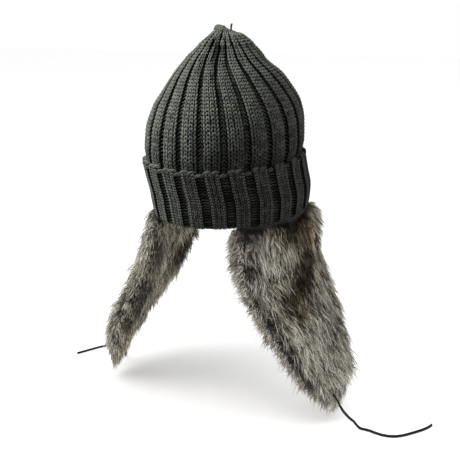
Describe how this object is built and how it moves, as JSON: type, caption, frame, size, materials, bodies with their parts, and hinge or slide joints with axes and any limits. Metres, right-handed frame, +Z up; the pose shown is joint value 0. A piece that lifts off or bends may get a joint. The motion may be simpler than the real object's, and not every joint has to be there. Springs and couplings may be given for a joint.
{
  "type": "knit cap with fur ear flaps",
  "caption": "Chunky ribbed knit cap with a gathered peak, a turned-up ribbed cuff and two long fur ear flaps, each with a thin black lace at its tip.",
  "frame": {"origin": "the middle of the head opening, level with the cuff's lower fold", "axes": "+Z up to the peak, -Y to the front of the cap, +X to the wearer's left"},
  "size_m": [0.5071, 0.2154, 0.4541],
  "materials": {
    "yarn": "chunky rib knit in dark grey-green marled yarn",
    "fur": "long-pile faux fur, dark grey-brown with pale tips",
    "lace": "thin flat black lace"
  },
  "bodies": {
    "root": {"crown": "yarn", "cuff": "yarn", "flap_right_outer": "fur", "flap_right_inner": "fur", "flap_left_outer": "fur", "flap_left_inner": "fur", "tie_right": "lace", "tie_left": "lace"}
  },
  "joints": []
}
